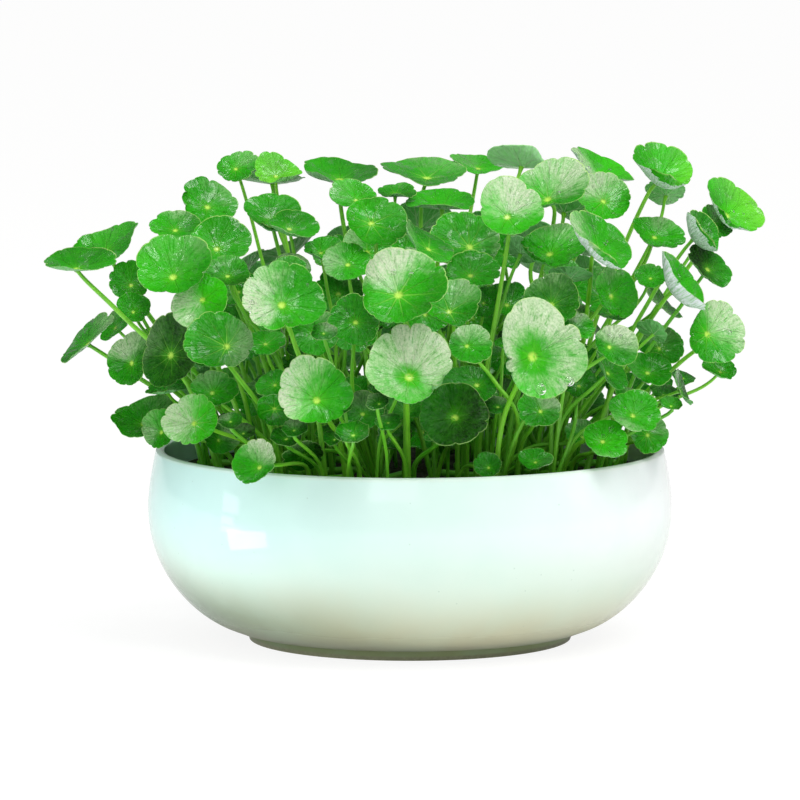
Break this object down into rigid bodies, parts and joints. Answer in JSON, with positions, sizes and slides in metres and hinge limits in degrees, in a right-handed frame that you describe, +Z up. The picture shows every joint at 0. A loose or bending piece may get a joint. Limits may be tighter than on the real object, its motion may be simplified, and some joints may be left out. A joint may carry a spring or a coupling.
{
  "type": "potted pennywort",
  "caption": "Round-leaved pennywort growing in a low, wide celadon-glazed bowl of soil, with cup-shaped leaves on thin stalks that rise from creeping runners.",
  "frame": {"origin": "on the bowl's axis, in the plane its foot ring stands on, under the middle of the whole plant", "axes": "+Z up, out of the bowl; -Y the front, where most leaves face; +X to the right of the front, along the clump's longest spread"},
  "size_m": [0.326, 0.2783, 0.2274],
  "materials": {
    "celadon_glaze": "gloss",
    "potting_soil": "matte",
    "leaf_green": "satin",
    "runner_leaf_green": "satin"
  },
  "bodies": {
    "root": {"bowl": "celadon_glaze", "soil": "potting_soil", "leaf_01": "leaf_green", "leaf_02": "leaf_green", "leaf_03": "leaf_green", "leaf_04": "leaf_green", "leaf_05": "leaf_green", "leaf_06": "leaf_green", "leaf_07": "leaf_green", "leaf_08": "leaf_green", "leaf_09": "leaf_green", "leaf_10": "leaf_green", "leaf_11": "leaf_green", "leaf_12": "leaf_green", "leaf_13": "leaf_green", "leaf_14": "leaf_green", "leaf_15": "leaf_green", "leaf_16": "leaf_green", "leaf_17": "leaf_green", "leaf_18": "leaf_green", "leaf_19": "leaf_green", "leaf_20": "leaf_green", "leaf_21": "leaf_green", "leaf_22": "leaf_green", "leaf_23": "leaf_green", "leaf_24": "leaf_green", "leaf_25": "leaf_green", "leaf_26": "leaf_green", "leaf_27": "leaf_green", "leaf_28": "leaf_green", "leaf_29": "leaf_green", "leaf_30": "leaf_green", "leaf_31": "leaf_green", "leaf_32": "leaf_green", "leaf_33": "leaf_green", "leaf_34": "leaf_green", "leaf_35": "leaf_green", "leaf_36": "leaf_green", "leaf_37": "leaf_green", "leaf_38": "leaf_green", "leaf_39": "leaf_green", "leaf_40": "leaf_green", "leaf_41": "leaf_green", "leaf_42": "leaf_green", "leaf_43": "leaf_green", "leaf_44": "leaf_green", "leaf_45": "leaf_green", "leaf_46": "leaf_green", "shoot_01": "runner_leaf_green", "shoot_02": "runner_leaf_green", "shoot_03": "runner_leaf_green", "shoot_04": "runner_leaf_green", "shoot_05": "runner_leaf_green", "shoot_06": "runner_leaf_green", "shoot_07": "runner_leaf_green", "shoot_08": "runner_leaf_green", "shoot_09": "runner_leaf_green", "shoot_10": "runner_leaf_green", "shoot_11": "runner_leaf_green", "shoot_12": "runner_leaf_green"}
  },
  "joints": []
}
